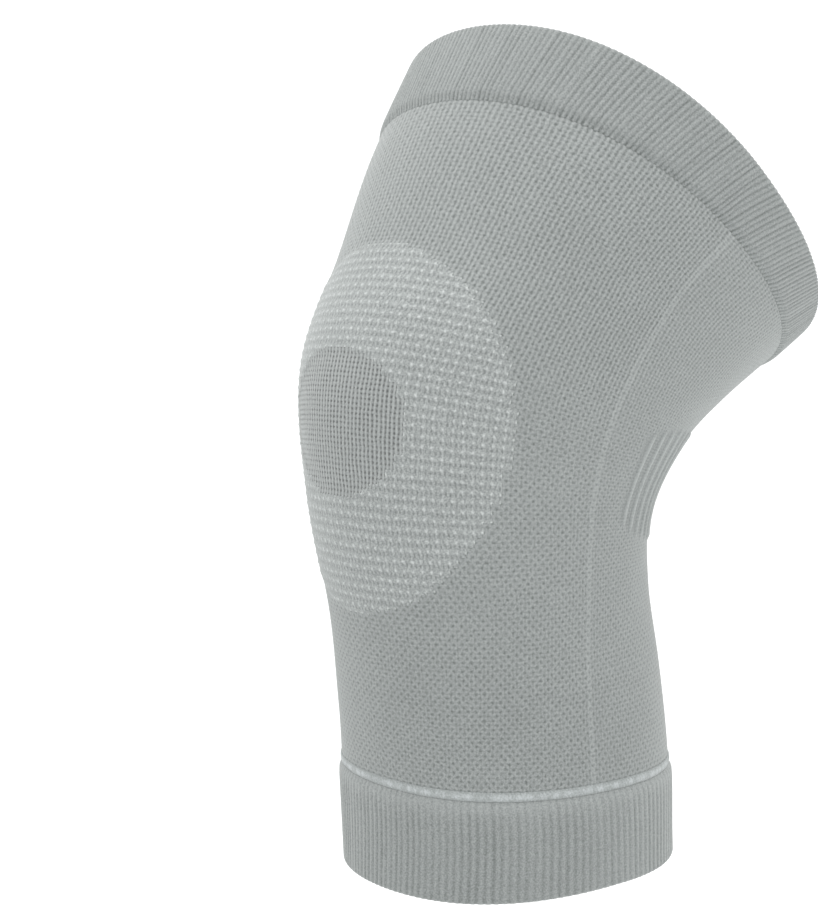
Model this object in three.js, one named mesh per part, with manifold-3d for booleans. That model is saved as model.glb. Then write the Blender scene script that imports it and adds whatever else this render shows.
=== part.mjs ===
// Knitted knee sleeve, in the form that it takes on a slightly bent knee.
// Millimetres, +Z up. The kneecap faces -Y, the hollow of the knee faces +Y, and X = 0 is the middle plane.
// The origin is the middle of the knee, on the leg's axis.
//
// Every piece lies on one skin. A place on it is a station and an angle. The station is the distance
// along the leg's axis, negative down the calf and positive up the thigh. The angle goes round the leg
// from the front. The lift is the height above the skin.

import * as THREE from "three";
import { mergeVertices } from "three/addons/utils/BufferGeometryUtils.js";
import Module from "manifold-3d";

// Leg's axis: lengths from the middle of the knee, the stretch that bends, and how far each end leans.
const CALF_LENGTH = 149;
const THIGH_LENGTH = 88;
const BEND_LENGTH = 192;
const CALF_LEAN = 9.5; // degrees, the calf rim lies behind the knee
const THIGH_LEAN = 39.5; // degrees, the thigh rim lies behind the knee

// Section: from the leg's axis to the side, to the front and to the back.
const CALF_SIDE = 50;
const CALF_FRONT = 55;
const CALF_BACK = 52;
const KNEE_SIDE = 58;
const KNEE_FRONT = 67;
const KNEE_BACK = 58;
const THIGH_SIDE = 71;
const THIGH_FRONT = 72;
const THIGH_BACK = 90;
const SQUARENESS = 0.03; // how much fuller than an ellipse a section is, halfway between its axes

// Knit
const WALL = 2;
const CUFF_WALL = 3; // the edge is knitted double
const CUFF_STAND = 1.2; // height of a cuff over the body
const CUFF_ROUNDING = 0.6; // how far a cuff's outer edge turns in
const SEAM_GAP = 0.3;

// Cuffs: both are knitted on the same needles, so they have as many ribs.
const CALF_CUFF_HEIGHT = 34;
const THIGH_CUFF_HEIGHT = 23;
const RIB_PITCH = 2.46; // at the calf
const RIB_DEPTH = 0.6;
const HEM_WIDTH = 2.4;
const HEM_STAND = 1.3;

// Kneecap: an oval ring round an oval field, both laid on the front of the skin.
const RING_STATION = -15;
const RING_HALF_HEIGHT = 43;
const RING_HALF_ANGLE = 60; // degrees
const RING_STAND = 0.5;
const FIELD_STATION = -13;
const FIELD_HALF_HEIGHT = 16;
const FIELD_HALF_ANGLE = 30; // degrees

// Hollow of the knee: a ribbed panel, lower at its two ends than in the middle.
const PANEL_STATION = -17.5;
const PANEL_HALF_HEIGHT = 27;
const PANEL_END_HALF_HEIGHT = 15.5;
const PANEL_HALF_ANGLE = 76.5; // degrees
const PANEL_RIB_COUNT = 31;
const PANEL_RIB_STAND = 0.7;

// Fineness of the faceted surfaces
const BODY_COLUMNS = 42;
const BODY_ROWS = 16;
const OVAL_SIDES = 42;
const PANEL_ROWS = 3;
const RIBS_PER_FACET = 3; // ribs over one facet of a cuff's inner wall
const CUT_MARGIN = 3; // how far a cutting solid stands out of the wall it cuts

// Sections from the calf rim to the thigh rim. Along is a share of the calf's or the thigh's length,
// and side, front and back are shares of the three sizes that the row follows.
const CALF = { side: CALF_SIDE, front: CALF_FRONT, back: CALF_BACK };
const KNEE = { side: KNEE_SIDE, front: KNEE_FRONT, back: KNEE_BACK };
const THIGH = { side: THIGH_SIDE, front: THIGH_FRONT, back: THIGH_BACK };
const SECTIONS = [
  { along: -1.0, of: CALF, side: 0.96, front: 1.1, back: 0.955 },
  { along: -0.8, of: CALF, side: 1.025, front: 1.005, back: 0.99 },
  { along: -0.6, of: CALF, side: 0.99, front: 0.955, back: 1.03 },
  { along: -0.4, of: CALF, side: 0.965, front: 0.955, back: 1.01 },
  { along: -0.2, of: KNEE, side: 0.865, front: 0.9, back: 0.9 },
  { along: 0.0, of: KNEE, side: 1.0, front: 1.0, back: 1.0 },
  { along: 0.33, of: THIGH, side: 0.915, front: 0.87, back: 0.765 },
  { along: 0.66, of: THIGH, side: 0.99, front: 0.92, back: 0.88 },
  { along: 1.0, of: THIGH, side: 1.005, front: 0.995, back: 1.0 },
].map((row) => ({
  station: row.along * (row.along < 0 ? CALF_LENGTH : THIGH_LENGTH),
  side: row.side * row.of.side,
  front: row.front * row.of.front,
  back: row.back * row.of.back,
}));

const radians = THREE.MathUtils.degToRad;
const lerp = THREE.MathUtils.lerp;
const smooth = (x, from, to) => THREE.MathUtils.smoothstep(x, from, to);

// Lean of the leg's axis from upright, in radians. It turns smoothly over the bend.
function leanAt(station) {
  const turned = smooth(station, -BEND_LENGTH / 2, BEND_LENGTH / 2);
  return radians(lerp(-CALF_LEAN, THIGH_LEAN, turned));
}

// Place of the leg's axis, the sum of its steps from the origin.
function axisAt(station) {
  const steps = 24;
  const step = station / steps;
  let y = 0;
  let z = 0;
  for (let i = 0; i < steps; i++) {
    const lean = leanAt((i + 0.5) * step);
    y += Math.sin(lean) * step;
    z += Math.cos(lean) * step;
  }
  return { y, z };
}

// One column of the section table at a station: a cubic through the rows, level with its neighbours' slope.
function sizeAt(station, column) {
  const last = SECTIONS.length - 1;
  let i = 0;
  while (i < last - 1 && station > SECTIONS[i + 1].station) i++;
  const slope = (j) => {
    const a = SECTIONS[Math.max(j - 1, 0)];
    const b = SECTIONS[Math.min(j + 1, last)];
    return (b[column] - a[column]) / (b.station - a.station);
  };
  const [a, b] = [SECTIONS[i], SECTIONS[i + 1]];
  const run = b.station - a.station;
  const t = (station - a.station) / run;
  const rise = b[column] - a[column];
  const startBend = slope(i) * run - rise;
  const endBend = rise - slope(i + 1) * run;
  return lerp(a[column], b[column], t) + t * (1 - t) * (startBend * (1 - t) + endBend * t);
}

// The calf rim is level, so the courses of the calf tilt against the leaning axis, most at the cuff.
const CALF_TILT = ((CALF_FRONT + CALF_BACK) / 2) * Math.tan(radians(CALF_LEAN));
const HEM_STATION = -CALF_LENGTH + CALF_CUFF_HEIGHT;
const LEVEL_SHARE = 0.27; // share of the calf's length below the knee with no tilt
const LEVEL_FROM = -LEVEL_SHARE * CALF_LENGTH;

// The skin: a fuller ellipse across the leg's axis, with its own depth to the front and to the back.
function skinPoint(station, angle, lift) {
  const turn = radians(angle);
  const across = Math.sin(turn);
  const ahead = Math.cos(turn);
  const tilted = station + CALF_TILT * ahead * smooth(-station, -LEVEL_FROM, -HEM_STATION);
  const lean = leanAt(tilted);
  const axis = axisAt(tilted);
  const fuller = 1 + SQUARENESS * Math.sin(2 * turn) ** 2;
  const side = (sizeAt(tilted, "side") + lift) * fuller;
  const depth = (sizeAt(tilted, ahead > 0 ? "front" : "back") + lift) * fuller;
  return [
    side * across,
    axis.y - depth * ahead * Math.cos(lean),
    axis.z + depth * ahead * Math.sin(lean),
  ];
}

// Millimetres of skin to a millimetre of station, and to a degree of angle.
function stretchAlong(station, angle) {
  const a = new THREE.Vector3(...skinPoint(station - 0.5, angle, 0));
  const b = new THREE.Vector3(...skinPoint(station + 0.5, angle, 0));
  return a.distanceTo(b);
}
function stretchAround(station, angle) {
  const a = new THREE.Vector3(...skinPoint(station, angle - 0.5, 0));
  const b = new THREE.Vector3(...skinPoint(station, angle + 0.5, 0));
  return a.distanceTo(b);
}

// Indexed geometry from points and triangles
function geometryOf(points, triangles) {
  const geometry = new THREE.BufferGeometry();
  geometry.setAttribute("position", new THREE.Float32BufferAttribute(points.flat(), 3));
  geometry.setIndex(triangles);
  return geometry;
}

// Closed wall over a row of loops on the skin. Each loop is a list of places [station, angle], and all
// have as many. outer(j, i) and inner(j, i) give the lifts at point i of loop j. The inner wall may use
// only every nth point. With a middle place the first loop is closed by a fan, otherwise it stays open.
function wallOverLoops(loops, outer, inner, { every = 1, middle = null } = {}) {
  const points = [];
  const triangles = [];
  const put = (place, lift) => points.push(skinPoint(place[0], place[1], lift)) - 1;
  const around = loops[0].length;
  const coarse = around / every;
  const top = loops.map((loop, j) => loop.map((place, i) => put(place, outer(j, i))));
  const low = loops.map((loop, j) =>
    loop.filter((_, i) => i % every === 0).map((place, i) => put(place, inner(j, i * every))),
  );
  const band = (a, b, count, flip) => {
    for (let i = 0; i < count; i++) {
      const k = (i + 1) % count;
      if (flip) triangles.push(a[i], b[k], a[k], a[i], b[i], b[k]);
      else triangles.push(a[i], a[k], b[k], a[i], b[k], b[i]);
    }
  };
  for (let j = 0; j < loops.length - 1; j++) {
    band(top[j], top[j + 1], around, false);
    band(low[j], low[j + 1], coarse, true);
  }
  const rim = (fine, rough, flip) => {
    const face = (a, b, c) => (flip ? triangles.push(a, c, b) : triangles.push(a, b, c));
      for (let i = 0; i < coarse; i++) {
      for (let n = 0; n < every; n++) {
        face(rough[i], fine[i * every + n], fine[(i * every + n + 1) % around]);
      }
      face(rough[i], fine[((i + 1) * every) % around], rough[(i + 1) % coarse]);
    }
  };
  rim(top.at(-1), low.at(-1), false);
  if (middle) {
    const crown = put(middle, outer(0, 0));
    const floor = put(middle, inner(0, 0));
    for (let i = 0; i < around; i++) {
      const k = (i + 1) % around;
      triangles.push(crown, top[0][k], top[0][i]);
      triangles.push(floor, low[0][i], low[0][k]);
    }
  } else {
    rim(top[0], low[0], true);
  }
  return geometryOf(points, triangles);
}

// Closed wall over a field of the skin with four edges. x goes from -1 to 1 round the leg and t from
// 0 to 1 up it. place(x, t) gives [station, angle], and outer(i) the lift of column i.
function wallOverField(columns, rows, place, outer, inner) {
  const points = [];
  const triangles = [];
  const grid = (liftOf) =>
    Array.from({ length: rows + 1 }, (_, j) =>
      Array.from({ length: columns + 1 }, (_, i) => {
        const [station, angle] = place((2 * i) / columns - 1, j / rows);
        return points.push(skinPoint(station, angle, liftOf(i))) - 1;
      }),
    );
  const top = grid(outer);
  const low = grid(inner);
  const quad = (a, b, c, d) => triangles.push(a, b, c, a, c, d);
  for (let j = 0; j < rows; j++) {
    for (let i = 0; i < columns; i++) {
      quad(top[j][i], top[j][i + 1], top[j + 1][i + 1], top[j + 1][i]);
      quad(low[j][i], low[j + 1][i], low[j + 1][i + 1], low[j][i + 1]);
    }
    quad(low[j][0], top[j][0], top[j + 1][0], low[j + 1][0]);
    quad(top[j][columns], low[j][columns], low[j + 1][columns], top[j + 1][columns]);
  }
  for (let i = 0; i < columns; i++) {
    quad(low[0][i], low[0][i + 1], top[0][i + 1], top[0][i]);
    quad(top[rows][i], top[rows][i + 1], low[rows][i + 1], low[rows][i]);
  }
  return geometryOf(points, triangles);
}

// Loop once round the leg
function courseLoop(station, columns) {
  return Array.from({ length: columns }, (_, i) => [station, (360 * i) / columns]);
}

// Oval loop on the front of the skin, grown by a distance on the skin itself.
function ovalLoop(station, halfHeight, halfAngle, grow) {
  return Array.from({ length: OVAL_SIDES }, (_, i) => {
    const turn = (2 * Math.PI * i) / OVAL_SIDES;
    const [up, out] = [Math.cos(turn), Math.sin(turn)];
    const at = [station + halfHeight * up, halfAngle * out];
    const height = halfHeight + grow / stretchAlong(...at);
    const angle = halfAngle + grow / stretchAround(...at);
    return [station + height * up, angle * out];
  });
}
const ringLoop = (grow) => ovalLoop(RING_STATION, RING_HALF_HEIGHT, RING_HALF_ANGLE, grow);
const fieldLoop = (grow) => ovalLoop(FIELD_STATION, FIELD_HALF_HEIGHT, FIELD_HALF_ANGLE, grow);

// The loops between two loops, or between a place and a loop, at the given shares of the way
function loopsBetween(from, to, shares) {
  const startAt = Array.isArray(from[0]) ? (i) => from[i] : () => from;
  return shares.map((share) =>
    to.map((place, i) => {
      const start = startAt(i);
      return [lerp(start[0], place[0], share), lerp(start[1], place[1], share)];
    }),
  );
}

// Place on the ribbed panel behind the knee, grown by a distance on the skin.
function panelPlace(x, t, grow) {
  const middleAngle = 180 + PANEL_HALF_ANGLE * x;
  const angle = middleAngle + (x * grow) / stretchAround(PANEL_STATION, middleAngle);
  const bow = (PANEL_HALF_HEIGHT - PANEL_END_HALF_HEIGHT) * (1 - x ** 4);
  const halfHeight = PANEL_END_HALF_HEIGHT + bow;
  const edge = t * 2 - 1;
  const station = PANEL_STATION + edge * halfHeight;
  return [station + (edge * grow) / stretchAlong(station, angle), angle];
}

// Solid of a closed geometry, and the geometry of a solid
const wasm = await Module();
wasm.setup();
function solidOf(geometry) {
  const merged = mergeVertices(geometry, 1e-4);
  return new wasm.Manifold(
    new wasm.Mesh({
      numProp: 3,
      vertProperties: merged.attributes.position.array,
      triVerts: new Uint32Array(merged.index.array),
    }),
  );
}
function geometryOfSolid(solid) {
  const mesh = solid.getMesh();
  const geometry = new THREE.BufferGeometry();
  geometry.setAttribute("position", new THREE.BufferAttribute(mesh.vertProperties, 3));
  geometry.setIndex(new THREE.BufferAttribute(mesh.triVerts, 1));
  return geometry;
}

const sleeve = new THREE.Group();
function addPiece(name, geometry, colour) {
  const flat = geometry.toNonIndexed();
  flat.computeVertexNormals();
  const finish = new THREE.MeshStandardMaterial({ color: colour, roughness: 0.9, metalness: 0 });
  const mesh = new THREE.Mesh(flat, finish);
  mesh.name = name;
  sleeve.add(mesh);
}
const KNIT_GREY = 0xa3aba9;
const CUFF_GREY = 0xa0a8a6;
const FIELD_GREY = 0x9aa2a0;
const YARN_WHITE = 0xc3caca;

// Body: the bent tube between the two cuffs, open for the ring and for the panel
const BODY_FROM = HEM_STATION + HEM_WIDTH / 2 + SEAM_GAP;
const BODY_TO = THIGH_LENGTH - THIGH_CUFF_HEIGHT - SEAM_GAP;
const bodyLoops = Array.from({ length: BODY_ROWS + 1 }, (_, j) =>
  courseLoop(lerp(BODY_FROM, BODY_TO, j / BODY_ROWS), BODY_COLUMNS),
);
const tube = wallOverLoops(bodyLoops, () => 0, () => -WALL);
const ringMiddle = [RING_STATION, 0];
const ringCutter = wallOverLoops(
  loopsBetween(ringMiddle, ringLoop(SEAM_GAP), [0.25, 0.5, 0.75, 1]),
  () => CUT_MARGIN,
  () => -WALL - CUT_MARGIN,
  { middle: ringMiddle },
);
const panelCutter = wallOverField(
  2 * PANEL_RIB_COUNT,
  PANEL_ROWS,
  (x, t) => panelPlace(x, t, SEAM_GAP),
  () => CUT_MARGIN,
  () => -WALL - CUT_MARGIN,
);
const body = solidOf(tube).subtract(solidOf(ringCutter)).subtract(solidOf(panelCutter));
addPiece("sleeve_body", geometryOfSolid(body), KNIT_GREY);

// Ring round the kneecap, thickest halfway across
const ringShares = [0, 0.25, 0.5, 0.75, 1];
const ringLoops = loopsBetween(fieldLoop(SEAM_GAP), ringLoop(0), ringShares);
addPiece(
  "kneecap_ring",
  wallOverLoops(ringLoops, (j) => RING_STAND * Math.sin(Math.PI * ringShares[j]), () => -WALL),
  YARN_WHITE,
);

// Field inside the ring
const fieldMiddle = [FIELD_STATION, 0];
addPiece(
  "kneecap_field",
  wallOverLoops(
    loopsBetween(fieldMiddle, fieldLoop(0), [0.5, 1]),
    () => 0,
    () => -WALL,
    { middle: fieldMiddle },
  ),
  FIELD_GREY,
);

// Ribbed panel in the hollow of the knee: every second column is the crest of a rib
addPiece(
  "knee_hollow_panel",
  wallOverField(
    2 * PANEL_RIB_COUNT,
    PANEL_ROWS,
    (x, t) => panelPlace(x, t, 0),
    (i) => (i % 2) * PANEL_RIB_STAND,
    () => -WALL,
  ),
  KNIT_GREY,
);

// Cuff: a double edge with a rib to every second column, its outer edge turned in
const CALF_GIRTH = Math.PI * (CALF_SIDE + (CALF_FRONT + CALF_BACK) / 2);
const RIB_COUNT = RIBS_PER_FACET * Math.round(CALF_GIRTH / (RIB_PITCH * RIBS_PER_FACET));
function cuff(name, courses) {
  const loops = courses.map((course) => courseLoop(course.station, 2 * RIB_COUNT));
  const stand = (j) => CUFF_STAND - (courses[j].turnedIn ? CUFF_ROUNDING : 0);
  addPiece(
    name,
    wallOverLoops(loops, (j, i) => stand(j) - (i % 2) * RIB_DEPTH, () => CUFF_STAND - CUFF_WALL, {
      every: 2 * RIBS_PER_FACET,
    }),
    CUFF_GREY,
  );
}
cuff("calf_cuff", [
  { station: -CALF_LENGTH, turnedIn: true },
  { station: -CALF_LENGTH + CUFF_WALL, turnedIn: false },
  { station: HEM_STATION - HEM_WIDTH / 2 - SEAM_GAP, turnedIn: false },
]);
cuff("thigh_cuff", [
  { station: THIGH_LENGTH - THIGH_CUFF_HEIGHT, turnedIn: false },
  { station: THIGH_LENGTH - CUFF_WALL, turnedIn: false },
  { station: THIGH_LENGTH, turnedIn: true },
]);

// Light hem bead between the body and the calf cuff
const hemLifts = [CUFF_STAND - CUFF_ROUNDING, HEM_STAND, CUFF_STAND - CUFF_ROUNDING];
const hemLoops = [-0.5, 0, 0.5].map((share) =>
  courseLoop(HEM_STATION + share * HEM_WIDTH, BODY_COLUMNS),
);
addPiece("calf_hem", wallOverLoops(hemLoops, (j) => hemLifts[j], () => -WALL), YARN_WHITE);

export default sleeve;
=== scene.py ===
"""A knitted compression sleeve for the knee, in the form that it takes on a slightly bent leg.

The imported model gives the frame. Every piece here is a surface over two parameters: the wales, which are the knit's
upright columns of stitches, and the courses, which are its rows. A cell is two wales wide. The sleeve is one knitted
tube, so each zone takes whole cells and courses of the same grid and meets its neighbours along their edges.
Lengths are in millimetres and angles in degrees: 0 is the front of the knee, 90 the side at +X and 180 its hollow. A
station is a place along the leg's curved axis, 0 at the middle of the knee and growing up the thigh.
"""

import math

import bpy
import numpy as np
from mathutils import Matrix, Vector


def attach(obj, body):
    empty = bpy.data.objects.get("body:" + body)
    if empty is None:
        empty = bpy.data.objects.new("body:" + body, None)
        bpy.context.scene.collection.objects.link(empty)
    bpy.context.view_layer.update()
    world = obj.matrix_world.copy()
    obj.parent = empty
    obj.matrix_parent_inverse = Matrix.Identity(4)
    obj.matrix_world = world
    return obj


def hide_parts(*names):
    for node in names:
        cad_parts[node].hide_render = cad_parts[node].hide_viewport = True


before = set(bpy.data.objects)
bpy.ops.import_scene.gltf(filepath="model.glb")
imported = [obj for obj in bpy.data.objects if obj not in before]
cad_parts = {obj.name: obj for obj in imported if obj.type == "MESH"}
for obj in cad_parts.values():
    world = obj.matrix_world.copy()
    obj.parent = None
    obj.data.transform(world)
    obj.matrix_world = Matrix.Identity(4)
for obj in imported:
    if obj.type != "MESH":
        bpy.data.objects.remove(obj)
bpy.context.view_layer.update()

MM = 0.001  # Blender's metres to a millimetre
rng = np.random.default_rng(7)

# Sizes of the worn sleeve, the same as its solids have: lengths along the axis, and half widths from it.
CALF_LENGTH = 149.0
THIGH_LENGTH = 88.0
BEND_LENGTH = 192.0
CALF_LEAN = 9.5
THIGH_LEAN = 39.5
CALF_SIDE, CALF_FRONT, CALF_BACK = 50.0, 55.0, 52.0
KNEE_SIDE, KNEE_FRONT, KNEE_BACK = 58.0, 67.0, 58.0
THIGH_SIDE, THIGH_FRONT, THIGH_BACK = 71.0, 72.0, 90.0
SQUARENESS = 0.03  # how much fuller an oval is on its diagonals
LEVEL_SHARE = 0.27  # share of the calf's length below the knee with no tilt

WALL = 2.0
CUFF_WALL = 3.0
CUFF_STAND = 1.2  # height of a cuff over the body
SEAM_GAP = 0.3
CALF_CUFF_HEIGHT = 34.0
THIGH_CUFF_HEIGHT = 23.0
HEM_WIDTH = 2.4

RING_STATION, RING_HALF_HEIGHT, RING_HALF_ANGLE, RING_STAND = -15.0, 43.0, 60.0, 0.5
FIELD_STATION, FIELD_HALF_HEIGHT, FIELD_HALF_ANGLE = -13.0, 16.0, 30.0
PANEL_STATION, PANEL_HALF_HEIGHT, PANEL_END_HALF_HEIGHT = -17.5, 27.0, 15.5
PANEL_HALF_ANGLE, PANEL_RIB_COUNT, PANEL_RIB_STAND = 76.5, 31, 0.7

# Softer forms, which the solids leave out or have higher.
SEAM_FALL = 2.8  # height over which a cuff falls to the body at its seam
SEAM_STAND = 0.1  # what is left of its stand there
HEM_RISE = 0.45  # height of the hem's crown over the body
TUCK_HEIGHT, TUCK_SHARPNESS = 0.22, 3.5  # the ring's knobs, and the power that narrows them
SLIT_DEPTH = 0.3
FRONT_HOLLOW_DEPTH, BACK_HOLLOW_DEPTH = 0.1, 0.05  # the birdseye's hollows

# The knit: its counts round the tube and the real sizes of its relaxed stitches.
CELLS = 128  # cells round the body
HEM_STITCHES = 264
CUFF_RIBS = 132
CELL_WIDTH = 2.4
COURSE_HEIGHT = 1.5
SIDE_CELLS = 30  # cells from the front's middle to the line down each side
FRONT_STRETCH = 0.09  # cells to a degree that the kneecap's pull takes from the front
FRONT_STRETCH_WIDTH = 30.0
SIDE_LINE_WIDTH = 0.3  # cells
COURSE_PITCH = np.array([  # station, and the stations' length of a course there
    (-113.7, 1.48), (-82.0, 1.46), (-59.0, 1.40), (-32.0, 1.22), (-12.0, 1.07),
    (3.0, 1.02), (13.0, 1.04), (40.0, 1.08), (64.7, 1.10),
])
WALE_DRIFT = np.array([  # station, and the degrees that the wales at the side lie nearer the back there
    (-114.0, -6.5), (-87.0, -2.5), (-56.0, 2.0), (-38.0, 2.2), (-19.0, 0.0),
    (-5.0, -1.8), (17.5, -1.5), (39.0, 0.0), (58.0, 3.6), (66.0, 5.2),
])
DRIFT_BLUR_ROWS = 241  # rows of STATION_LINE over which the drift is smoothed

# Rows of the leg's sizes: station, side, front and back.
SECTIONS = np.array([
    (-1.0 * CALF_LENGTH, 0.96 * CALF_SIDE, 1.1 * CALF_FRONT, 0.955 * CALF_BACK),
    (-0.8 * CALF_LENGTH, 1.025 * CALF_SIDE, 1.005 * CALF_FRONT, 0.99 * CALF_BACK),
    (-0.6 * CALF_LENGTH, 0.99 * CALF_SIDE, 0.955 * CALF_FRONT, 1.03 * CALF_BACK),
    (-0.4 * CALF_LENGTH, 0.965 * CALF_SIDE, 0.955 * CALF_FRONT, 1.01 * CALF_BACK),
    (-0.2 * CALF_LENGTH, 0.865 * KNEE_SIDE, 0.9 * KNEE_FRONT, 0.9 * KNEE_BACK),
    (0.0, KNEE_SIDE, KNEE_FRONT, KNEE_BACK),
    (0.33 * THIGH_LENGTH, 0.915 * THIGH_SIDE, 0.87 * THIGH_FRONT, 0.765 * THIGH_BACK),
    (0.66 * THIGH_LENGTH, 0.99 * THIGH_SIDE, 0.92 * THIGH_FRONT, 0.88 * THIGH_BACK),
    (1.0 * THIGH_LENGTH, 1.005 * THIGH_SIDE, 0.995 * THIGH_FRONT, 1.0 * THIGH_BACK),
])
HEM_STATION = CALF_CUFF_HEIGHT - CALF_LENGTH
CUFF_STATION = THIGH_LENGTH - THIGH_CUFF_HEIGHT
BODY_FOOT = HEM_STATION + HEM_WIDTH / 2 + SEAM_GAP
BODY_TOP = CUFF_STATION - SEAM_GAP


# The skin of the worn sleeve


def smooth(x, start, end):
    """0 before start, 1 after end, and between them the cubic 3t^2 - 2t^3 of the share t of the way."""
    t = np.clip((x - start) / (end - start), 0, 1)
    return t * t * (3 - 2 * t)


def lean_at(station):
    """The leg's lean in radians: from minus the calf's to the thigh's, by the smooth step over the bend's length."""
    share = smooth(station, -BEND_LENGTH / 2, BEND_LENGTH / 2)
    return np.radians(-CALF_LEAN + (THIGH_LEAN + CALF_LEAN) * share)


AXIS_STATIONS = np.linspace(-200, 160, 7201)
AXIS_STEP = AXIS_STATIONS[1] - AXIS_STATIONS[0]


def axis_course(part):
    """Running sum of a part of the lean, sine or cosine, along the axis, taken as nothing at station 0."""
    rate = part(lean_at(AXIS_STATIONS))
    path = np.concatenate([[0], np.cumsum((rate[1:] + rate[:-1]) / 2 * AXIS_STEP)])
    return path - np.interp(0, AXIS_STATIONS, path)


AXIS_Y = axis_course(np.sin)
AXIS_Z = axis_course(np.cos)


def size_at(station, column):
    """Cubic through the rows of SECTIONS, with the slope at each row that its two neighbours give."""
    x, y = SECTIONS[:, 0], SECTIONS[:, column]
    last = len(x) - 1
    before, after = np.maximum(np.arange(last + 1) - 1, 0), np.minimum(np.arange(last + 1) + 1, last)
    slope = (y[after] - y[before]) / (x[after] - x[before])
    i = np.clip(np.searchsorted(x, station, side="right") - 1, 0, last - 1)
    run, rise = x[i + 1] - x[i], y[i + 1] - y[i]
    t = (station - x[i]) / run
    start_bend, end_bend = slope[i] * run - rise, rise - slope[i + 1] * run
    return y[i] + rise * t + t * (1 - t) * (start_bend * (1 - t) + end_bend * t)


CALF_TILT = (CALF_FRONT + CALF_BACK) / 2 * math.tan(math.radians(CALF_LEAN))


def skin(station, angle, lift=0.0):
    """A point of the skin: an oval of the section's side and front or back size about the leaning axis, a little fuller
    on its diagonals, whose courses tilt towards level at the calf. lift is the height over the skin."""
    turn = np.radians(angle)
    across, ahead = np.sin(turn), np.cos(turn)
    station = station + CALF_TILT * ahead * smooth(-station, LEVEL_SHARE * CALF_LENGTH, -HEM_STATION)
    fuller = 1 + SQUARENESS * np.sin(2 * turn) ** 2
    side = (size_at(station, 1) + lift) * fuller
    depth = (np.where(ahead > 0, size_at(station, 2), size_at(station, 3)) + lift) * fuller
    lean = lean_at(station)
    y, z = np.interp(station, AXIS_STATIONS, AXIS_Y), np.interp(station, AXIS_STATIONS, AXIS_Z)
    return np.stack([side * across, y - depth * ahead * np.cos(lean), z + depth * ahead * np.sin(lean)], -1)


# Wales and courses


CELLS_PER_DEGREE = (CELLS / 2 + FRONT_STRETCH * FRONT_STRETCH_WIDTH) / 180
DEGREES = np.linspace(-360, 360, 7201)
DEGREE_CELLS = CELLS_PER_DEGREE * DEGREES - FRONT_STRETCH * FRONT_STRETCH_WIDTH * (
    np.tanh(DEGREES / FRONT_STRETCH_WIDTH)
    + np.tanh((DEGREES - 360) / FRONT_STRETCH_WIDTH)
    + np.tanh((DEGREES + 360) / FRONT_STRETCH_WIDTH)
)


def angle_of(cell):
    """The angle of a count of cells from the front: evenly spread, less a hyperbolic tangent at the kneecap's pull."""
    return np.interp(cell, DEGREE_CELLS, DEGREES)


def cells_aside(cell):
    """Cells from the front's middle, counted the shorter way round."""
    return np.abs((cell + CELLS / 2) % CELLS - CELLS / 2)


STATION_LINE = np.linspace(BODY_FOOT, BODY_TOP, 2001)
COURSE_LINE = np.cumsum(1 / np.interp(STATION_LINE, COURSE_PITCH[:, 0], COURSE_PITCH[:, 1]))
COURSE_LINE = (COURSE_LINE - COURSE_LINE[0]) * (STATION_LINE[1] - STATION_LINE[0])
COURSES = int(round(COURSE_LINE[-1] / 2)) * 2
COURSE_LINE *= COURSES / COURSE_LINE[-1]
KNEE_COURSE = np.interp(0.0, STATION_LINE, COURSE_LINE)


def station_of(course):
    """The station of a count of courses from the hem: each course is as high as COURSE_PITCH says there."""
    return np.interp(course, COURSE_LINE, STATION_LINE)


DRIFT_LINE = np.interp(STATION_LINE, WALE_DRIFT[:, 0], WALE_DRIFT[:, 1])
DRIFT_BLUR = np.hanning(DRIFT_BLUR_ROWS) / np.hanning(DRIFT_BLUR_ROWS).sum()
DRIFT_LINE = np.convolve(np.pad(DRIFT_LINE, DRIFT_BLUR_ROWS // 2, mode="edge"), DRIFT_BLUR, mode="valid")


def stitch_place(cell, course):
    """Station and angle of a stitch: the wales drift round the leg with its bend, in full at the sides and by the sine
    of the angle elsewhere."""
    station, angle = station_of(course), angle_of(cell)
    drift = np.interp(station, STATION_LINE, DRIFT_LINE)
    return station, angle + drift * np.sin(np.radians(angle))


# Meshes


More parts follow.
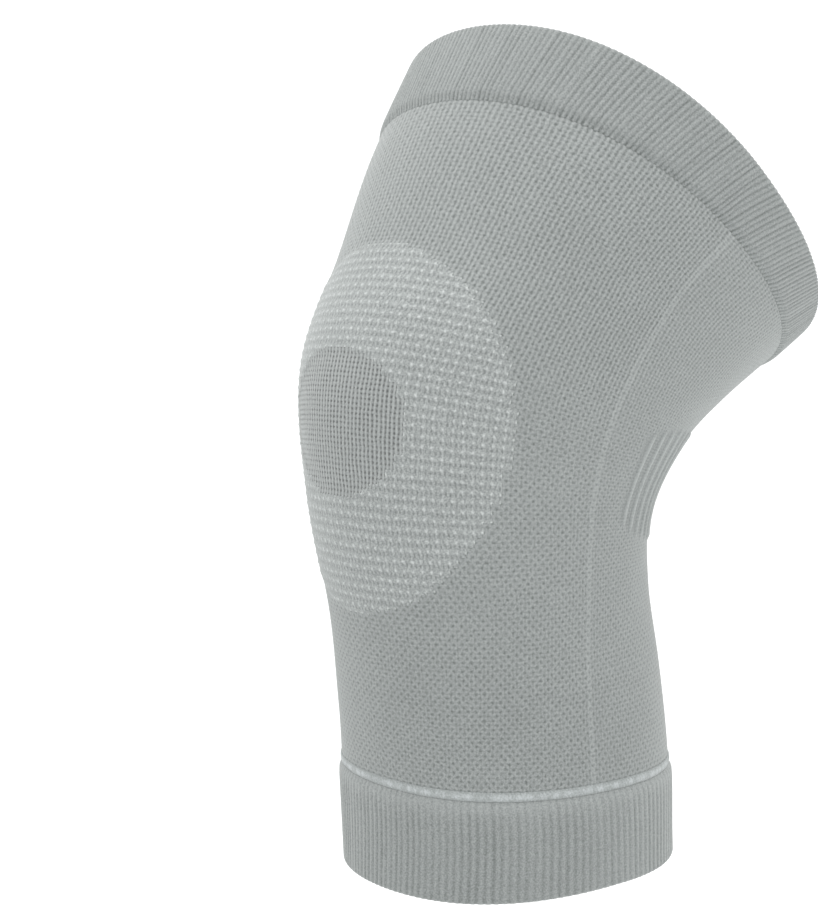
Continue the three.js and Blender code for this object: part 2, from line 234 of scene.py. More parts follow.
def new_piece(name, points, tones, face_sets, material, slot, *nodes):
    """A mesh of points in millimetres, each with its tone: what it adds to the yarn's pattern, painted shade and light
    among it, from -1 for a deep furrow to 1 for the palest yarn. Each face set is corners (n x k), their knit
    coordinates (n x k x 2) and smoothness, and the edges of a face set that isn't smooth are sharp."""
    used, corners = np.unique(np.concatenate([f.ravel() for f, _, _ in face_sets]), return_inverse=True)
    sizes = np.concatenate([np.full(len(f), f.shape[1]) for f, _, _ in face_sets])
    mesh = bpy.data.meshes.new(name)
    mesh.vertices.add(len(used))
    mesh.vertices.foreach_set("co", (points[used] * MM).astype(np.float32).ravel())
    mesh.loops.add(len(corners))
    mesh.loops.foreach_set("vertex_index", corners.astype(np.int32))
    mesh.polygons.add(len(sizes))
    mesh.polygons.foreach_set("loop_start", np.concatenate([[0], np.cumsum(sizes)[:-1]]).astype(np.int32))
    mesh.polygons.foreach_set("use_smooth", np.concatenate([np.full(len(f), s) for f, _, s in face_sets]))
    places = np.concatenate([uv.reshape(-1, 2) for _, uv, _ in face_sets])
    mesh.uv_layers.new(name="knit").data.foreach_set("uv", places.astype(np.float32).ravel())
    mesh.attributes.new("tone", "FLOAT", "POINT").data.foreach_set("value", tones[used].astype(np.float32))
    mesh.update(calc_edges=True)
    mesh.validate()
    loop_edges = np.empty(len(mesh.loops), np.int32)
    mesh.loops.foreach_get("edge_index", loop_edges)
    flat = np.concatenate([np.full(f.size, not s) for f, _, s in face_sets])
    sharp = np.zeros(len(mesh.edges), bool)
    sharp[loop_edges[flat]] = True
    mesh.attributes.new("sharp_edge", "BOOLEAN", "EDGE").data.foreach_set("value", sharp)
    mesh.materials.append(material)
    piece = bpy.data.objects.new(name, mesh)
    bpy.context.scene.collection.objects.link(piece)
    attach(piece, "root")
    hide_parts(*nodes)
    return piece


def knit_place(cell, course):
    """Knit coordinates in millimetres of the relaxed cloth: cells round by their width, and courses by their height."""
    return np.stack(np.broadcast_arrays(cell * CELL_WIDTH, course * COURSE_HEIGHT), -1)


def zone_piece(name, zone, cells, fine_across, fine_along, material, slot, *nodes):
    """The part of a zone between two cells, with its wall: one entry of zone to a cell and course. Its outside has
    fine_across by fine_along faces to each of them, lifted by knit_height with tones by knit_light, its inside has one,
    and a strip closes each edge."""
    first_cell, last_cell = cells
    zone = zone[first_cell - FIRST_CELL : last_cell - FIRST_CELL]
    across, along = zone.shape
    fine_i, fine_j = np.arange(across * fine_across + 1), np.arange(along * fine_along + 1)
    cell, course = (first_cell + fine_i / fine_across)[:, None], (fine_j / fine_along)[None, :]
    outside = skin(*stitch_place(cell, course), knit_height(cell, course))
    wide_cell, wide_course = (first_cell + np.arange(across + 1))[:, None], np.arange(along + 1)[None, :]
    inside = skin(*stitch_place(wide_cell, wide_course), -WALL)
    points = np.concatenate([outside.reshape(-1, 3), inside.reshape(-1, 3)])
    tones = np.pad(knit_light(cell, course).ravel(), (0, inside.shape[0] * inside.shape[1]))
    grids = (cell, course), (wide_cell, wide_course)
    places = np.concatenate([knit_place(*grid).reshape(-1, 2) for grid in grids])

    def out(i, j):
        """Number of the outside's point in fine column i and fine row j."""
        return i * len(fine_j) + j

    def inn(i, j):
        """Number of the inside's point in column i and row j, counted on from the outside's points."""
        return outside.shape[0] * outside.shape[1] + i * (along + 1) + j

    fine_zone = np.repeat(np.repeat(zone, fine_across, 0), fine_along, 1)
    i, j = np.nonzero(fine_zone)
    outer = np.stack([out(i, j), out(i + 1, j), out(i + 1, j + 1), out(i, j + 1)], -1)
    i, j = np.nonzero(zone)
    inner = np.stack([inn(i, j), inn(i, j + 1), inn(i + 1, j + 1), inn(i + 1, j)], -1)
    padded = np.pad(zone, 1)
    a, b = np.arange(fine_across + 1)[None, :], np.arange(fine_along + 1)[None, :]

    def edge(neighbour):
        """Entries of the zone whose neighbour on one side isn't in it."""
        i, j = np.nonzero(zone & ~neighbour)
        return i[:, None], j[:, None]

    i, j = edge(padded[1:-1, :-2])
    foot = np.hstack([out((i + 1) * fine_across - a, j * fine_along), inn(i, j), inn(i + 1, j)])
    i, j = edge(padded[1:-1, 2:])
    top = np.hstack([out(i * fine_across + a, (j + 1) * fine_along), inn(i + 1, j + 1), inn(i, j + 1)])
    i, j = edge(padded[:-2, 1:-1])
    left = np.hstack([out(i * fine_across, j * fine_along + b), inn(i, j + 1), inn(i, j)])
    i, j = edge(padded[2:, 1:-1])
    right = np.hstack([out((i + 1) * fine_across, (j + 1) * fine_along - b), inn(i + 1, j), inn(i + 1, j + 1)])
    sets = [(outer, places[outer], True), (inner, places[inner], True)]
    sets += [(f, places[f], False) for f in (foot, top, left, right) if len(f)]
    return new_piece(name, points, tones, sets, material, slot, *nodes)


def tube_piece(name, points, tones, places, material, slot, *nodes):
    """A closed ring of faces: points is columns round by rows of a closed profile, and places its knit coordinates,
    which have a column and a row more than the points because they don't close."""
    columns, rows = points.shape[:2]
    i, j = np.meshgrid(np.arange(columns), np.arange(rows), indexing="ij")
    i, j = i.ravel(), j.ravel()
    corners = [(i, j), (i + 1, j), (i + 1, j + 1), (i, j + 1)]
    faces = np.stack([(a % columns) * rows + b % rows for a, b in corners], -1)
    spots = np.stack([places[a, b] for a, b in corners], -2)
    return new_piece(name, points.reshape(-1, 3), tones.ravel(), [(faces, spots, True)], material, slot, *nodes)


# Materials


def linear(code):
    """An sRGB hex colour as linear red, green, blue and alpha."""
    srgb = [int(code[k : k + 2], 16) / 255 for k in (1, 3, 5)]
    return [c / 12.92 if c <= 0.04045 else ((c + 0.055) / 1.055) ** 2.4 for c in srgb] + [1.0]


def add(tree, kind, settings=None, links=None):
    """Adds a node of a kind. settings are its own values, or a socket's where the name is not one of them; links join
    its input sockets, by name or number, to other nodes' outputs."""
    node = tree.nodes.new(kind)
    for name, value in (settings or {}).items():
        if isinstance(name, str) and hasattr(node, name):
            setattr(node, name, value)
        else:
            node.inputs[name].default_value = value
    for name, output in (links or {}).items():
        tree.links.new(output, node.inputs[name])
    return node


# Knitted nylon and elastane yarn: soft, matt and dense, a sage grey with a faint sheen where its filaments graze the
# light. Each set of colours is the yarn's in a furrow, deepened there by painted shade, over all and where it stands up
# palest.
BODY_YARNS = "#6C716F", "#919594", "#ACB0AF"
RING_YARNS = "#6E7271", "#999D9C", "#CACECD"
FIELD_YARNS = "#646665", "#959998", "#B4B7B6"
HEM_YARNS = "#828786", "#969B9A", "#B9BEBF"
SHEEN = "#F4F6F5"
FIBRE = 0.55  # spacing of the filaments' bundles, drawn coarser than the real ones so that they show
CLOUD = 22.0  # width of the cloth's faint clouds of tone
CLOUD_SHARE = 0.07  # how far they darken and lighten it
UNEVEN = 5.0  # length over which the stitches lie unevenly
UNEVEN_SHIFT = 0.35  # and how far
KNEE_REACH = 0.8, 1.25  # shares of the knee's height between which the calf's knit turns into the thigh's


def cosines(tree, place, across, along, turn=(0.0, 0.0)):
    """Cosines of the knit place with periods of across and along in millimetres, turned on by shares of a period, as a
    node with outputs X and Y."""
    turns = add(tree, "ShaderNodeVectorMath", {
        "operation": "MULTIPLY_ADD", 1: (2 * math.pi / across, 2 * math.pi / along, 0.0),
        2: (2 * math.pi * turn[0], 2 * math.pi * turn[1], 0.0)}, {0: place})
    wave = add(tree, "ShaderNodeVectorMath", {"operation": "COSINE"}, {0: turns.outputs[0]})
    return add(tree, "ShaderNodeSeparateXYZ", links={0: wave.outputs[0]})


def lattice_tone(calf_share, thigh_share):
    """The birdseye's staggered hollows, -cos(2 pi u) cos(pi v), by one share at the calf and another at the thigh."""

    def tone(tree, place, up_leg):
        wave = cosines(tree, place, CELL_WIDTH, 2 * COURSE_HEIGHT)
        hollow = add(tree, "ShaderNodeMath", {"operation": "MULTIPLY"}, {0: wave.outputs["X"], 1: wave.outputs["Y"]})
        share = add(tree, "ShaderNodeMapRange", {"To Min": -calf_share, "To Max": -thigh_share}, {"Value": up_leg})
        return add(tree, "ShaderNodeMath", {"operation": "MULTIPLY"}, {
            0: hollow.outputs[0], 1: share.outputs["Result"]}).outputs[0]

    return tone


def bells(tree, place, across, along, turn, sharpness):
    """Round bumps, one to each period: (cos + 1)(cos + 1) / 4 to a power."""
    wave = cosines(tree, place, across, along, turn)
    aside = add(tree, "ShaderNodeMath", {"operation": "MULTIPLY_ADD", 1: 0.5, 2: 0.5}, {0: wave.outputs["X"]})
    up = add(tree, "ShaderNodeMath", {"operation": "MULTIPLY_ADD", 1: 0.5, 2: 0.5}, {0: wave.outputs["Y"]})
    both = add(tree, "ShaderNodeMath", {"operation": "MULTIPLY"}, {0: aside.outputs[0], 1: up.outputs[0]})
    return add(tree, "ShaderNodeMath", {"operation": "POWER", 1: sharpness}, {0: both.outputs[0]}).outputs[0]


def slit_tone(tree, place, up_leg):
    """The mesh knit's slits: dark bells between the wales, one to a course."""
    slit = bells(tree, place, CELL_WIDTH / 2, COURSE_HEIGHT, (0.0, 0.0), 1.3)
    return add(tree, "ShaderNodeMath", {"operation": "MULTIPLY_ADD", 1: -0.75, 2: 0.07}, {0: slit}).outputs[0]


def tuck_tone(tree, place, up_leg):
    """The ring's tucks: a pale bell to each cell in every second course, and a row of dark dashes below it, one to each
    wale."""
    knob = bells(tree, place, CELL_WIDTH, 2 * COURSE_HEIGHT, (0.0, 0.0), TUCK_SHARPNESS)
    dash = bells(tree, place, CELL_WIDTH / 2, 2 * COURSE_HEIGHT, (0.25, 0.4), 2.0)
    below = add(tree, "ShaderNodeMath", {"operation": "MULTIPLY_ADD", 1: -0.65, 2: 0.06}, {0: dash})
    return add(tree, "ShaderNodeMath", {"operation": "MULTIPLY_ADD", 1: 0.65}, {
        0: knob, 2: below.outputs[0]}).outputs[0]


def yarn_material(name, colours, tone, calf_wales, thigh_wales, courses, fray, depth):
    """Knitted yarn. Its pattern is the piece's tone, painted shade and light among it, with a stitch pattern and
    painted shade in the furrows between the wales and courses added by their shares, and filaments that fray it. Three
    colours lie over the sum, clouds vary them, and the same sum is its relief, depth millimetres deep."""
    material = bpy.data.materials.new(name)
    material.use_nodes = True
    tree = material.node_tree
    tree.nodes.clear()
    object_place = add(tree, "ShaderNodeTexCoord").outputs["Object"]
    pattern = add(tree, "ShaderNodeAttribute", {"attribute_name": "tone"}).outputs["Fac"]
    if tone:
        stitches = add(tree, "ShaderNodeUVMap", {"uv_map": "knit"}).outputs["UV"]
        uneven = add(tree, "ShaderNodeTexNoise", {"Scale": 1 / (UNEVEN * MM), "Detail": 1.0}, {"Vector": object_place})
        push = add(tree, "ShaderNodeVectorMath", {
            "operation": "MULTIPLY_ADD", 1: (2 * UNEVEN_SHIFT,) * 3, 2: (-UNEVEN_SHIFT,) * 3}, {
            0: uneven.outputs["Color"]})
        place = add(tree, "ShaderNodeVectorMath", {"operation": "ADD"}, {0: stitches, 1: push.outputs[0]}).outputs[0]
        height_up = add(tree, "ShaderNodeSeparateXYZ", links={0: stitches})
        up_leg = add(tree, "ShaderNodeMapRange", {
            "interpolation_type": "SMOOTHSTEP", "From Min": KNEE_COURSE * COURSE_HEIGHT * KNEE_REACH[0],
            "From Max": KNEE_COURSE * COURSE_HEIGHT * KNEE_REACH[1]}, {
            "Value": height_up.outputs["Y"]}).outputs["Result"]
        # Painted shade: the yarn darkens along the furrows between the wales and between the courses.
        furrow = cosines(tree, place, CELL_WIDTH / 2, COURSE_HEIGHT)
        wale_share = add(tree, "ShaderNodeMapRange", {"To Min": -calf_wales, "To Max": -thigh_wales}, {"Value": up_leg})
        for part, share in (
            ({0: furrow.outputs["X"], 1: wale_share.outputs["Result"]}, {}),
            ({0: furrow.outputs["Y"]}, {1: -courses}),
            ({0: tone(tree, place, up_leg)}, {1: 1.0}),
        ):
            pattern = add(tree, "ShaderNodeMath", {"operation": "MULTIPLY_ADD", **share}, {
                **part, 2: pattern}).outputs[0]

    cloud = add(tree, "ShaderNodeTexNoise", {"Scale": 1 / (CLOUD * MM), "Detail": 3.0}, {"Vector": object_place})
    fibre = add(tree, "ShaderNodeTexNoise", {"Scale": 1 / (FIBRE * MM), "Detail": 3.0, "Roughness": 0.6},
                {"Vector": object_place})
    frayed = add(tree, "ShaderNodeMath", {"operation": "MULTIPLY_ADD", 1: fray}, {0: fibre.outputs["Fac"], 2: pattern})
    level = add(tree, "ShaderNodeMapRange", {"From Min": fray / 2 - 1, "From Max": fray / 2 + 1}, {
        "Value": frayed.outputs[0]})
    ramp = add(tree, "ShaderNodeValToRGB", links={0: level.outputs["Result"]})
    ramp.color_ramp.elements[0].color = linear(colours[0])
    ramp.color_ramp.elements[1].color = linear(colours[2])
    ramp.color_ramp.elements.new(0.5).color = linear(colours[1])
    shade = add(tree, "ShaderNodeMapRange", {"To Min": 1 - CLOUD_SHARE, "To Max": 1 + CLOUD_SHARE}, {
        "Value": cloud.outputs["Fac"]})
    clouded = add(tree, "ShaderNodeVectorMath", {"operation": "SCALE"}, {
        0: ramp.outputs["Color"], "Scale": shade.outputs["Result"]})
    bump = add(tree, "ShaderNodeBump", {"Distance": depth * MM}, {"Height": frayed.outputs[0]})
    shader = add(tree, "ShaderNodeBsdfPrincipled", {
        "Roughness": 0.9, "IOR": 1.53, "Specular IOR Level": 0.25,
        "Sheen Weight": 0.4, "Sheen Roughness": 0.5, "Sheen Tint": linear(SHEEN),
    }, {"Base Color": clouded.outputs[0], "Normal": bump.outputs[0]})
    add(tree, "ShaderNodeOutputMaterial", links={"Surface": shader.outputs["BSDF"]})
    return material


# Birdseye knit: a net of small dark hollows, which turns into upright ribs of stitches on the wider thigh.
body_knit = yarn_material("birdseye_knit_nylon", BODY_YARNS, lattice_tone(0.36, 0.2),
                          calf_wales=0.15, thigh_wales=0.45, courses=0.18, fray=2.8, depth=0.05)
# The same knit at the back, pulled flatter and finer, so that it shows more evenly grey.
back_knit = yarn_material("fine_knit_nylon", BODY_YARNS, lattice_tone(0.3, 0.16),
                          calf_wales=0.15, thigh_wales=0.35, courses=0.18, fray=2.5, depth=0.05)
# Tuck knit: pale knobs of doubled yarn that catch the light, over rows of short dark dashes.
ring_knit = yarn_material("tuck_knit_nylon", RING_YARNS, tuck_tone,
                          calf_wales=-0.05, thigh_wales=-0.05, courses=0.0, fray=2.6, depth=0.05)
# Mesh knit: thin upright wales with dark slits between them.
field_knit = yarn_material("mesh_knit_nylon", FIELD_YARNS, slit_tone,
                           calf_wales=0.35, thigh_wales=0.35, courses=0.0, fray=2.2, depth=0.05)
# Floats: long loose threads that lie in pale ribs over plain courses.
panel_knit = yarn_material("float_rib_nylon", BODY_YARNS, lattice_tone(0.0, 0.0),
                           calf_wales=0.0, thigh_wales=0.0, courses=0.1, fray=2.2, depth=0.04)
# Rib knit: two layers with deep furrows, whose shape and the painted shade in their furrows do the work, and whose yarn
# is plain.
cuff_knit = yarn_material("rib_knit_nylon", BODY_YARNS, None,
                          calf_wales=0.0, thigh_wales=0.0, courses=0.0, fray=2.8, depth=0.05)
# Overlocked hem: a thicker, paler thread, uneven along its length.
hem_yarn = yarn_material("hem_overlock_nylon", HEM_YARNS, None,
                         calf_wales=0.0, thigh_wales=0.0, courses=0.0, fray=2.8, depth=0.05)


# Zones of the body


def share_in_oval(cell, course, station, half_height, half_angle):
    """How far out of an oval a place is: 1 on its edge, less inside and more outside."""
    up, round_ = stitch_place(cell, course)
    return np.hypot((up - station) / half_height, round_ / half_angle)


def panel_place(cell, course):
    """A stitch's share of the way from the panel's middle to its end, and to its edge above or below: the panel is
    highest at the back's middle and its half height falls with the fourth power to its ends."""
    station, angle = stitch_place(cell, course)
    x = (angle % 360 - 180) / PANEL_HALF_ANGLE
    higher = 1 - np.minimum(np.abs(x), 1) ** 4
    half_height = PANEL_END_HALF_HEIGHT + (PANEL_HALF_HEIGHT - PANEL_END_HALF_HEIGHT) * higher
    return x, np.abs(station - PANEL_STATION) / half_height


def floats_share(x, y):
    """How much of the floats shows at a place on the panel: all inside, fading before the edge above and below."""
    return (1 - smooth(y, 0.86, 0.98)) * (np.abs(x) < 1)


def tucks(cell, course):
    """Tucks of the ring: a round knob to each cell in every second course, (cos + 1)(cos + 1) / 4 to a power."""
    return ((0.5 + 0.5 * np.cos(2 * np.pi * cell)) * (0.5 + 0.5 * np.cos(np.pi * course))) ** TUCK_SHARPNESS


def slits(cell, course):
    """The mesh knit's slits between the wales, one to a course, where both the wale's and the course's cosines are
    high."""
    return np.maximum(np.cos(4 * np.pi * cell), 0) * np.maximum(np.cos(2 * np.pi * course), 0)


def float_ribs(cell, course):
    """Floats that stand up as ribs over the panel's height, PANEL_RIB_COUNT of them over its angle."""
    x, y = panel_place(cell, course)
    return np.maximum(np.cos(np.pi * PANEL_RIB_COUNT * x), 0) ** 1.5 * floats_share(x, y)


def knit_height(cell, course):
    """The knit's relief in millimetres, one function for every zone so that they meet without a step: the ring stands
    proud with its tucks, the field is dented by its slits, the panel has its ribs and the rest its birdseye hollows."""
    outer = share_in_oval(cell, course, RING_STATION, RING_HALF_HEIGHT, RING_HALF_ANGLE)
    inner = share_in_oval(cell, course, FIELD_STATION, FIELD_HALF_HEIGHT, FIELD_HALF_ANGLE)
    in_outer, in_inner = 1 - smooth(outer, 0.95, 1.03), 1 - smooth(inner, 0.9, 1.05)
    x, y = panel_place(cell, course)
    in_panel = (1 - smooth(y, 0.97, 1.05)) * (1 - smooth(np.abs(x), 0.98, 1.02))
    ring_part = in_outer * (1 - in_inner) * (RING_STAND + TUCK_HEIGHT * tucks(cell, course))
    field_part = -SLIT_DEPTH * in_inner * slits(cell, course)
    panel_part = PANEL_RIB_STAND * float_ribs(cell, course)
    deep = np.where(cells_aside(cell) > SIDE_CELLS, BACK_HOLLOW_DEPTH, FRONT_HOLLOW_DEPTH)
    hollows = deep * np.cos(2 * np.pi * cell) * np.cos(np.pi * course)
    return ring_part + field_part + panel_part - (1 - in_outer) * (1 - in_panel) * hollows


def knit_light(cell, course):
    """The tone that the mesh gives the yarn: the panel's pale ribs with grey between them, the pale wale that runs down
    each side of the leg, a narrow bell curve, and painted shade that darkens the calf towards the hem."""
    panel = floats_share(*panel_place(cell, course)) * (1.05 * float_ribs(cell, course) - 0.2)
    line = 0.35 * np.exp(-(((cells_aside(cell) - SIDE_CELLS) / SIDE_LINE_WIDTH) ** 2))
    # Painted shade: the calf darkens downwards, standing in for the lesser light low on the leg.
    painted_calf_shade = 0.16 * smooth(-station_of(course), 20, 110)
    return panel + line - painted_calf_shade


FIRST_CELL = -CELLS // 2  # the back's middle, so that the front and the back are each one run of cells
centre_cell = (np.arange(FIRST_CELL, CELLS) + 0.5)[:, None]
centre_course = (np.arange(COURSES) + 0.5)[None, :]
in_ring = share_in_oval(centre_cell, centre_course, RING_STATION, RING_HALF_HEIGHT, RING_HALF_ANGLE) < 1
in_field = share_in_oval(centre_cell, centre_course, FIELD_STATION, FIELD_HALF_HEIGHT, FIELD_HALF_ANGLE) < 1
panel_x, panel_y = panel_place(centre_cell, centre_course)
in_panel = (np.abs(panel_x) < 1) & (panel_y < 1)
plain = ~in_ring & ~in_field & ~in_panel

# Each zone has as many faces to a cell and to a course as its knit's relief needs.
FRONT, BACK = (-SIDE_CELLS, SIDE_CELLS), (SIDE_CELLS, CELLS - SIDE_CELLS)
zone_piece("sleeve_body_front", plain, FRONT, 4, 2, body_knit, "body_knit", "sleeve_body")
zone_piece("sleeve_body_back", plain, BACK, 4, 2, back_knit, "body_knit", "sleeve_body")
zone_piece("kneecap_ring_knit", in_ring & ~in_field, FRONT, 8, 4, ring_knit, "ring_knit", "kneecap_ring")
zone_piece("kneecap_field_knit", in_field, FRONT, 8, 4, field_knit, "field_knit", "kneecap_field")
zone_piece("knee_hollow_ribs", in_panel, BACK, 8, 1, panel_knit, "panel_knit", "knee_hollow_panel")


# Cuffs and hem


def cuff_profile(free_end, seam, wall):
    """Rows of a double cuff's closed profile as station and lift: round the folded free end in a half circle of the
    wall's width, along the outside to the seam, where it falls to the body in a soft curve, and back along the
    inside."""
    fold_rows, outside_rows, seam_rows, inside_rows = 13, 14, 7, 7
    half, way = wall / 2, np.sign(seam - free_end)
    turn = np.radians(np.linspace(0, 180, fold_rows))
    fold = np.stack([free_end + way * (half - half * np.sin(turn)), CUFF_STAND - half - half * np.cos(turn)], -1)
    lip = free_end + way * half
    outside_station = lip + (seam - lip) * np.linspace(0, 1, outside_rows)[1:]
    outside_station = outside_station[np.abs(outside_station - seam) > SEAM_FALL]
    outside_station = np.concatenate([outside_station, seam - way * SEAM_FALL * np.linspace(0.75, 0, seam_rows)])
    fall = 1 - smooth(np.abs(outside_station - seam), 0, SEAM_FALL)
    outside = np.stack([outside_station, CUFF_STAND - (CUFF_STAND - SEAM_STAND) * fall], -1)
    inside_station = seam + (lip - seam) * np.linspace(0, 1, inside_rows + 1)[:-1]
    inside = np.stack([inside_station, np.full(inside_rows, CUFF_STAND - wall)], -1)
    return np.concatenate([fold, outside, inside])


def cuff_piece(name, free_end, seam, columns_per_rib, rib_shape, seam_share, rib_tone_and_furrow_shade, painted_seam_shading, drift, node):
    """A ribbed double cuff: its profile carried round, its outside lowered by rib_shape(place in the rib, rib number),
    its lip and inside by a third of that, and its ribs fading to seam_share of their depth at the seam.
    rib_tone_and_furrow_shade is the tone on a rib's crown and the painted shade that it loses to each millimetre of
    furrow, and painted_seam_shading the change of both at the seam, painted light where it lifts them and painted
    shadow where it lowers them, and the height over which it fades. The ribs go on from the body's wales, with the same
    drift and drift more degrees to the millimetre."""
    profile = cuff_profile(free_end, seam, CUFF_WALL)
    columns = CUFF_RIBS * columns_per_rib
    rib = np.arange(columns) / columns_per_rib
    furrow = rib_shape(rib % 1, np.floor(rib).astype(int))[:, None]
    station, lift = profile[None, :, 0], profile[None, :, 1]
    out = smooth(lift, CUFF_STAND - CUFF_WALL, CUFF_STAND - CUFF_WALL / 2) * 0.7 + 0.3
    out = out * (seam_share + (1 - seam_share) * smooth(np.abs(station - seam), 0, 2 * SEAM_FALL))
    angle = rib[:, None] / CUFF_RIBS * 360
    along = np.interp(seam, STATION_LINE, DRIFT_LINE) + drift * (station - seam)
    points = skin(station, angle + along * np.sin(np.radians(angle)), lift - furrow * out)
    # Painted shade: the yarn darkens with the depth of each rib's furrow.
    tones = rib_tone_and_furrow_shade[0] - rib_tone_and_furrow_shade[1] * furrow * np.maximum(out, 0.55)
    # Painted shading at the seam: light along the calf cuff's top under the hem, a shadow dashed along the furrows at
    # the thigh cuff's seam.
    tones = tones + (painted_seam_shading[0] - painted_seam_shading[1] * furrow) * np.exp(-(((station - seam) / painted_seam_shading[2]) ** 2))
    run = np.concatenate([[0], np.cumsum(np.hypot(*np.diff(profile, axis=0, append=profile[:1]).T))])
    if seam < free_end:
        points, tones, run = points[:, ::-1], tones[:, ::-1], run[-1] - run[::-1]
    places = knit_place(np.arange(columns + 1)[:, None] / columns_per_rib, run[None, :] / COURSE_HEIGHT)
    return tube_piece(name, points, tones, places, cuff_knit, "cuff_rib", node)


def rounded_ribs(depth):
    """One and one rib: rounded ridges, a raised cosine, that vary a little in depth and place from rib to rib."""
    vary = 1 + 0.25 * rng.uniform(-1, 1, CUFF_RIBS)
    place = 0.5 + 0.06 * rng.uniform(-1, 1, CUFF_RIBS)

    def shape(t, number):
        bowed = np.where(t < place[number], t / place[number] / 2, 0.5 + (t - place[number]) / (1 - place[number]) / 2)
        return depth * vary[number] * (0.5 + 0.5 * np.cos(2 * np.pi * bowed)) ** 1.3

    return shape


def paired_ribs(depth):
    """Two and two rib, pulled wide: a furrow between one rib and the next and another down the rib's middle, both
    narrow bell curves, and no two quite the same."""
    edge_width, middle_width = 0.13, 0.12
    vary = 1 + 0.2 * rng.uniform(-1, 1, CUFF_RIBS)
    middle = rng.uniform(0.75, 1.05, CUFF_RIBS)
    place = 0.5 + 0.05 * rng.uniform(-1, 1, CUFF_RIBS)

    def shape(t, number):
        before = np.exp(-((t / edge_width) ** 2)) * vary[number]
        after = np.exp(-(((1 - t) / edge_width) ** 2)) * vary[(number + 1) % CUFF_RIBS]
        return depth * (before + after + middle[number] * np.exp(-(((t - place[number]) / middle_width) ** 2)))

    return shape


# Both cuffs carry painted shade in their furrows; the calf's has painted light under the hem, the thigh's a painted
# shadow at its seam.
cuff_piece("calf_cuff_rib", -CALF_LENGTH, HEM_STATION - HEM_WIDTH / 2 - SEAM_GAP, 8, rounded_ribs(0.24),
           seam_share=0.35, rib_tone_and_furrow_shade=(0.0, 2.0), painted_seam_shading=(0.3, 0.0, 5.0), drift=0.0, node="calf_cuff")
cuff_piece("thigh_cuff_rib", THIGH_LENGTH, BODY_TOP, 12, paired_ribs(0.32),
           seam_share=0.8, rib_tone_and_furrow_shade=(0.18, 2.1), painted_seam_shading=(0.05, 1.8, 1.6), drift=0.35, node="thigh_cuff")


def hem_bead():
    """The hem's yarn, a low bead round the calf: half ovals out to HEM_RISE and in through the wall, carried round,
    swollen a little for each stitch and unevenly from stitch to stitch, with a painted highlight along its crown that
    is brighter on each stitch's swell and uneven from stitch to stitch."""
    columns_per_stitch, rows = 6, 14
    columns = HEM_STITCHES * columns_per_stitch
    turn = np.linspace(0, 2 * np.pi, rows, endpoint=False)[None, :]
    stitch = (np.arange(columns) / columns_per_stitch)[:, None]
    uneven = np.pad(rng.uniform(-1, 1, HEM_STITCHES), (0, 1), mode="wrap")
    uneven = np.interp(stitch, np.arange(HEM_STITCHES + 1), uneven)
    twist = 0.1 * np.cos(2 * np.pi * stitch + 2 * turn)
    swell = 1 + twist + 0.06 * uneven
    station = HEM_STATION + (HEM_WIDTH / 2 + SEAM_GAP) * np.sin(turn) * np.ones_like(stitch)
    lift = np.where(np.cos(turn) > 0, HEM_RISE * swell, WALL) * np.cos(turn)
    points = skin(station, stitch / HEM_STITCHES * 360, lift)
    cell = np.arange(columns + 1)[:, None] / columns_per_stitch / 2
    row = np.arange(rows + 1)[None, :] / 4
    # Painted highlight: pale where the bead faces out, and more where each stitch swells.
    tones = (0.6 + 0.5 * uneven) * np.maximum(np.cos(turn), 0) ** 4 + twist
    return tube_piece("calf_hem_yarn", points, tones, knit_place(cell, row), hem_yarn, "hem_yarn", "calf_hem")


hem_bead()


# Studio


VIEW_AZIMUTH = 50.0  # of the photo's camera, from the front towards +X
CAMERA_PLACE, CAMERA_AIM = (0.4278, -0.3598, 0.0334), (-0.0176, -0.0238, -0.0149)  # metres
CAMERA_LENS, CAMERA_SENSOR = 67.7, 36.0
KNEE = (0.0, 0.0, 0.0)
PAPER, WHITE = "#BCBDBD", "#FFFFFF"


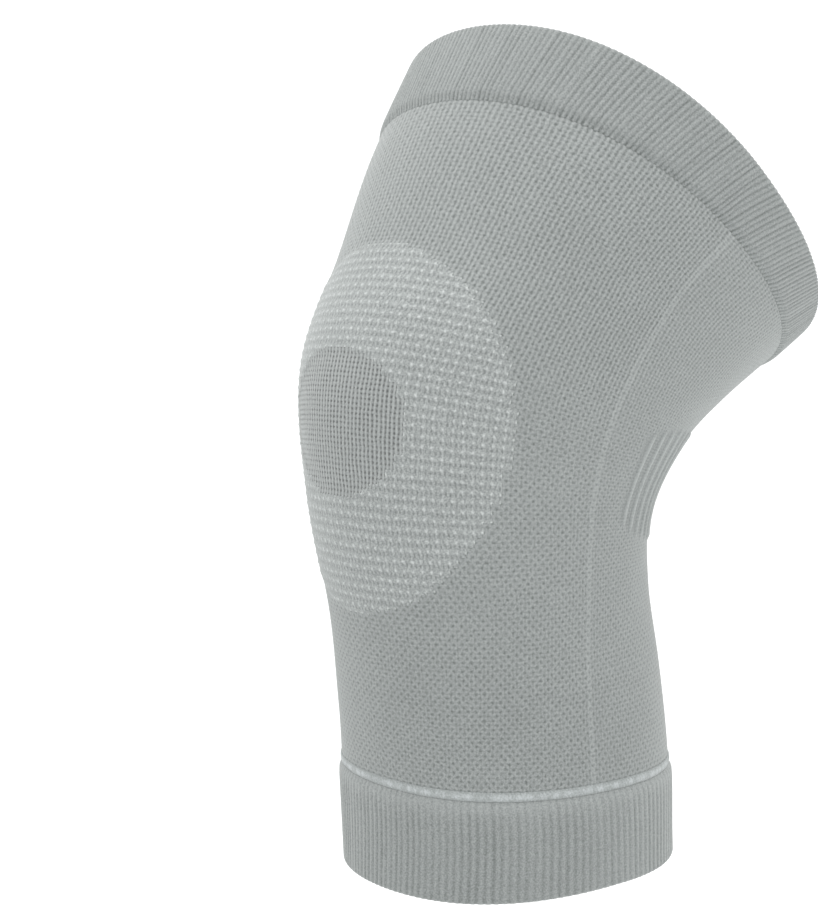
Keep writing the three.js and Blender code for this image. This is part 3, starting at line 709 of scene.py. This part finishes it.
def sweep_backdrop():
    """A pale floor that curves up into a wall far behind: a profile of two straight runs and a quarter round, drawn
    wide. It is matt white paper, lit a little from within so that it stays white where the light falls off."""
    floor_z, reach, radius, height, half_width, near_end = -300.0, 2600.0, 900.0, 3200.0, 4500.0, -3500.0
    corner = np.radians(np.linspace(0, 90, 17))
    run = np.concatenate([[near_end, reach - radius], reach - radius + radius * np.sin(corner[1:]), [reach]])
    rise = np.concatenate([[0.0, 0.0], radius - radius * np.cos(corner[1:]), [height]])
    view = np.radians(VIEW_AZIMUTH)
    ahead = np.array([-np.sin(view), np.cos(view), 0])
    aside = np.array([np.cos(view), np.sin(view), 0])
    line = run[:, None] * ahead + (rise + floor_z)[:, None] * [0, 0, 1]
    points = np.concatenate([line - half_width * aside, line + half_width * aside])
    n = len(line)
    k = np.arange(n - 1)
    faces = np.stack([k, k + n, k + n + 1, k + 1], -1)
    mesh = bpy.data.meshes.new("studio_sweep")
    mesh.from_pydata((points * MM).tolist(), [], faces.tolist())
    mesh.shade_smooth()
    paper = bpy.data.materials.new("white_backdrop_paper")
    paper.use_nodes = True
    shader = paper.node_tree.nodes["Principled BSDF"]
    shader.inputs["Base Color"].default_value = linear(PAPER)
    shader.inputs["Roughness"].default_value = 0.9
    shader.inputs["Emission Color"].default_value = linear(WHITE)
    shader.inputs["Emission Strength"].default_value = 0.6
    mesh.materials.append(paper)
    sweep = bpy.data.objects.new("studio_sweep", mesh)
    bpy.context.scene.collection.objects.link(sweep)


sweep_backdrop()


def softbox(name, place, aim, size, power):
    """A square area light at a place, turned to aim at a point, both in metres."""
    light = bpy.data.lights.new(name, "AREA")
    light.shape, light.size, light.energy = "SQUARE", size, power
    lamp = bpy.data.objects.new(name, light)
    lamp.location = place
    lamp.rotation_euler = (Vector(aim) - Vector(place)).to_track_quat("-Z", "Y").to_euler()
    bpy.context.scene.collection.objects.link(lamp)


# A broad softbox overhead, a faint one behind at +X, and white air all round.
softbox("top_softbox", (0.2, -0.25, 2.0), KNEE, 1.5, 28.0)
softbox("side_softbox", (1.5, 1.0, 0.4), KNEE, 1.5, 2.0)

world = bpy.data.worlds.new("studio_air")
world.use_nodes = True
world.node_tree.nodes["Background"].inputs["Color"].default_value = linear(WHITE)
world.node_tree.nodes["Background"].inputs["Strength"].default_value = 0.85
bpy.context.scene.world = world
bpy.context.scene.view_settings.view_transform = "Standard"

camera_data = bpy.data.cameras.new("photo_camera")
camera_data.lens = CAMERA_LENS
camera_data.sensor_width = CAMERA_SENSOR
camera_data.clip_start = 0.01
camera = bpy.data.objects.new("photo_camera", camera_data)
camera.location = CAMERA_PLACE
camera.rotation_euler = (Vector(CAMERA_AIM) - camera.location).to_track_quat("-Z", "Y").to_euler()
bpy.context.scene.collection.objects.link(camera)
bpy.context.scene.camera = camera
